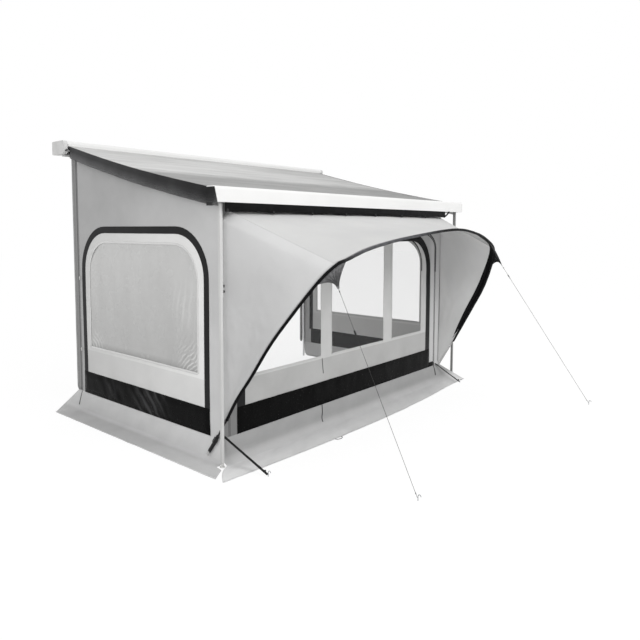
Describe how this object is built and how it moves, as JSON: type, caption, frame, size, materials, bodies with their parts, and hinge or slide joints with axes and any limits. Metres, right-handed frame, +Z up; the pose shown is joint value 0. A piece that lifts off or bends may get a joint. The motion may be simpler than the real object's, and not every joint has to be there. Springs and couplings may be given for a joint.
{
  "type": "caravan awning",
  "caption": "Wind-out cassette awning pitched with a zip-in room: roof cloth, support legs, folding arms, window walls, skirts and a front sun canopy on a guyed arch pole.",
  "frame": {"origin": "on the ground, at the middle of the footprint of everything but the guy lines and their pegs", "axes": "+X along the vehicle, +Y towards the vehicle's side wall, +Z up"},
  "size_m": [4.0871, 4.0711, 2.71],
  "materials": {
    "white_metal": "satin white paint",
    "silver": "anodised",
    "steel": "zinc plated",
    "black_plastic": "moulded",
    "grey_plastic": "moulded",
    "grey_cloth": "coated polyester",
    "light_cloth": "coated polyester",
    "roof_cloth": "coated awning cloth",
    "black_cloth": "coated polyester",
    "clear_foil": "clear window foil",
    "foam": "soft foam",
    "cord": "braided cord"
  },
  "bodies": {
    "awning": {"cassette_housing": "white_metal", "cassette_cap_left": "grey_plastic", "cassette_cap_right": "grey_plastic", "roof_fabric": "roof_cloth", "lead_rail": "white_metal", "rail_cap_left": "grey_plastic", "rail_cap_right": "grey_plastic", "front_valance": "black_cloth", "side_valance_left": "black_cloth", "side_valance_right": "black_cloth", "outer_leg_left": "white_metal", "outer_leg_right": "white_metal", "shoulder_left": "silver", "shoulder_right": "silver", "inner_arm_left": "silver", "inner_arm_right": "silver", "outer_arm_left": "silver", "outer_arm_right": "silver", "rafter_left": "silver", "rafter_right": "silver", "rear_pole_left": "silver", "rear_pole_right": "silver", "foam_pad_left": "foam", "foam_pad_right": "foam", "side_wall_left": "grey_cloth", "side_wall_right": "grey_cloth", "side_frame_left": "black_cloth", "side_frame_right": "black_cloth", "side_pane_left": "clear_foil", "side_pane_right": "clear_foil", "side_skirt_left": "grey_cloth", "side_skirt_right": "grey_cloth", "front_wall": "light_cloth", "front_frame": "black_cloth", "front_pane": "clear_foil", "front_skirt": "grey_cloth", "canopy": "light_cloth", "arch_pole": "black_plastic", "arch_sleeve": "black_cloth", "gusset_left": "black_cloth", "gusset_right": "black_cloth", "guy_line_left": "cord", "guy_line_right": "cord", "guy_peg_left": "steel", "guy_peg_right": "steel", "corner_strap_left": "black_cloth", "corner_strap_right": "black_cloth", "corner_peg_left": "steel", "corner_peg_right": "steel"},
    "roller": {"roller": "silver"},
    "winding_eye": {"winding_eye": "steel"},
    "inner_leg_left": {"inner_leg_left": "white_metal"},
    "inner_leg_right": {"inner_leg_right": "white_metal"},
    "foot_left": {"foot_left": "black_plastic"},
    "foot_right": {"foot_right": "black_plastic"},
    "leg_knob_left": {"leg_knob_left": "black_plastic"},
    "leg_knob_right": {"leg_knob_right": "black_plastic"},
    "guy_runner_left": {"guy_runner_left": "black_plastic"},
    "guy_runner_right": {"guy_runner_right": "black_plastic"},
    "zip_slider": {"zip_slider": "black_plastic"}
  },
  "joints": [
    {"name": "roller_turn", "type": "hinge", "parent": "awning", "child": "roller", "pos_m": [0.0445, 1.55775, 2.65], "axis": [1, 0, 0], "continuous": true},
    {"name": "eye_turn", "type": "hinge", "parent": "awning", "child": "winding_eye", "pos_m": [-1.9365, 1.39575, 2.612], "axis": [0, -1, 0], "continuous": true},
    {"name": "leg_slide_left", "type": "slide", "parent": "awning", "child": "inner_leg_left", "axis": [0, 0, 1], "range_m": [-0.22, 0.35]},
    {"name": "leg_slide_right", "type": "slide", "parent": "awning", "child": "inner_leg_right", "axis": [0, 0, 1], "range_m": [-0.22, 0.35]},
    {"name": "foot_tilt_left", "type": "hinge", "parent": "inner_leg_left", "child": "foot_left", "pos_m": [-1.8545, -0.74725, 0.022], "axis": [1, 0, 0], "range_deg": [-18, 18]},
    {"name": "foot_tilt_right", "type": "hinge", "parent": "inner_leg_right", "child": "foot_right", "pos_m": [1.9435, -0.74725, 0.022], "axis": [1, 0, 0], "range_deg": [-18, 18]},
    {"name": "knob_turn_left", "type": "hinge", "parent": "awning", "child": "leg_knob_left", "pos_m": [-1.83, -0.74725, 1.372], "axis": [1, 0, 0], "range_deg": [0, 360]},
    {"name": "knob_turn_right", "type": "hinge", "parent": "awning", "child": "leg_knob_right", "pos_m": [1.92, -0.74725, 1.372], "axis": [-1, 0, 0], "range_deg": [0, 360]},
    {"name": "runner_slide_left", "type": "slide", "parent": "awning", "child": "guy_runner_left", "axis": [0.0463, -0.4114, -0.9103], "range_m": [-0.2, 0.8]},
    {"name": "runner_slide_right", "type": "slide", "parent": "awning", "child": "guy_runner_right", "axis": [0.1693, -0.5049, -0.8464], "range_m": [-0.05, 1]},
    {"name": "zip_slide", "type": "slide", "parent": "awning", "child": "zip_slider", "axis": [0, 0, 1], "range_m": [0, 1.35]}
  ],
  "couplings": [
    {"joint": "eye_turn", "follows": "roller_turn", "ratio": 15}
  ]
}
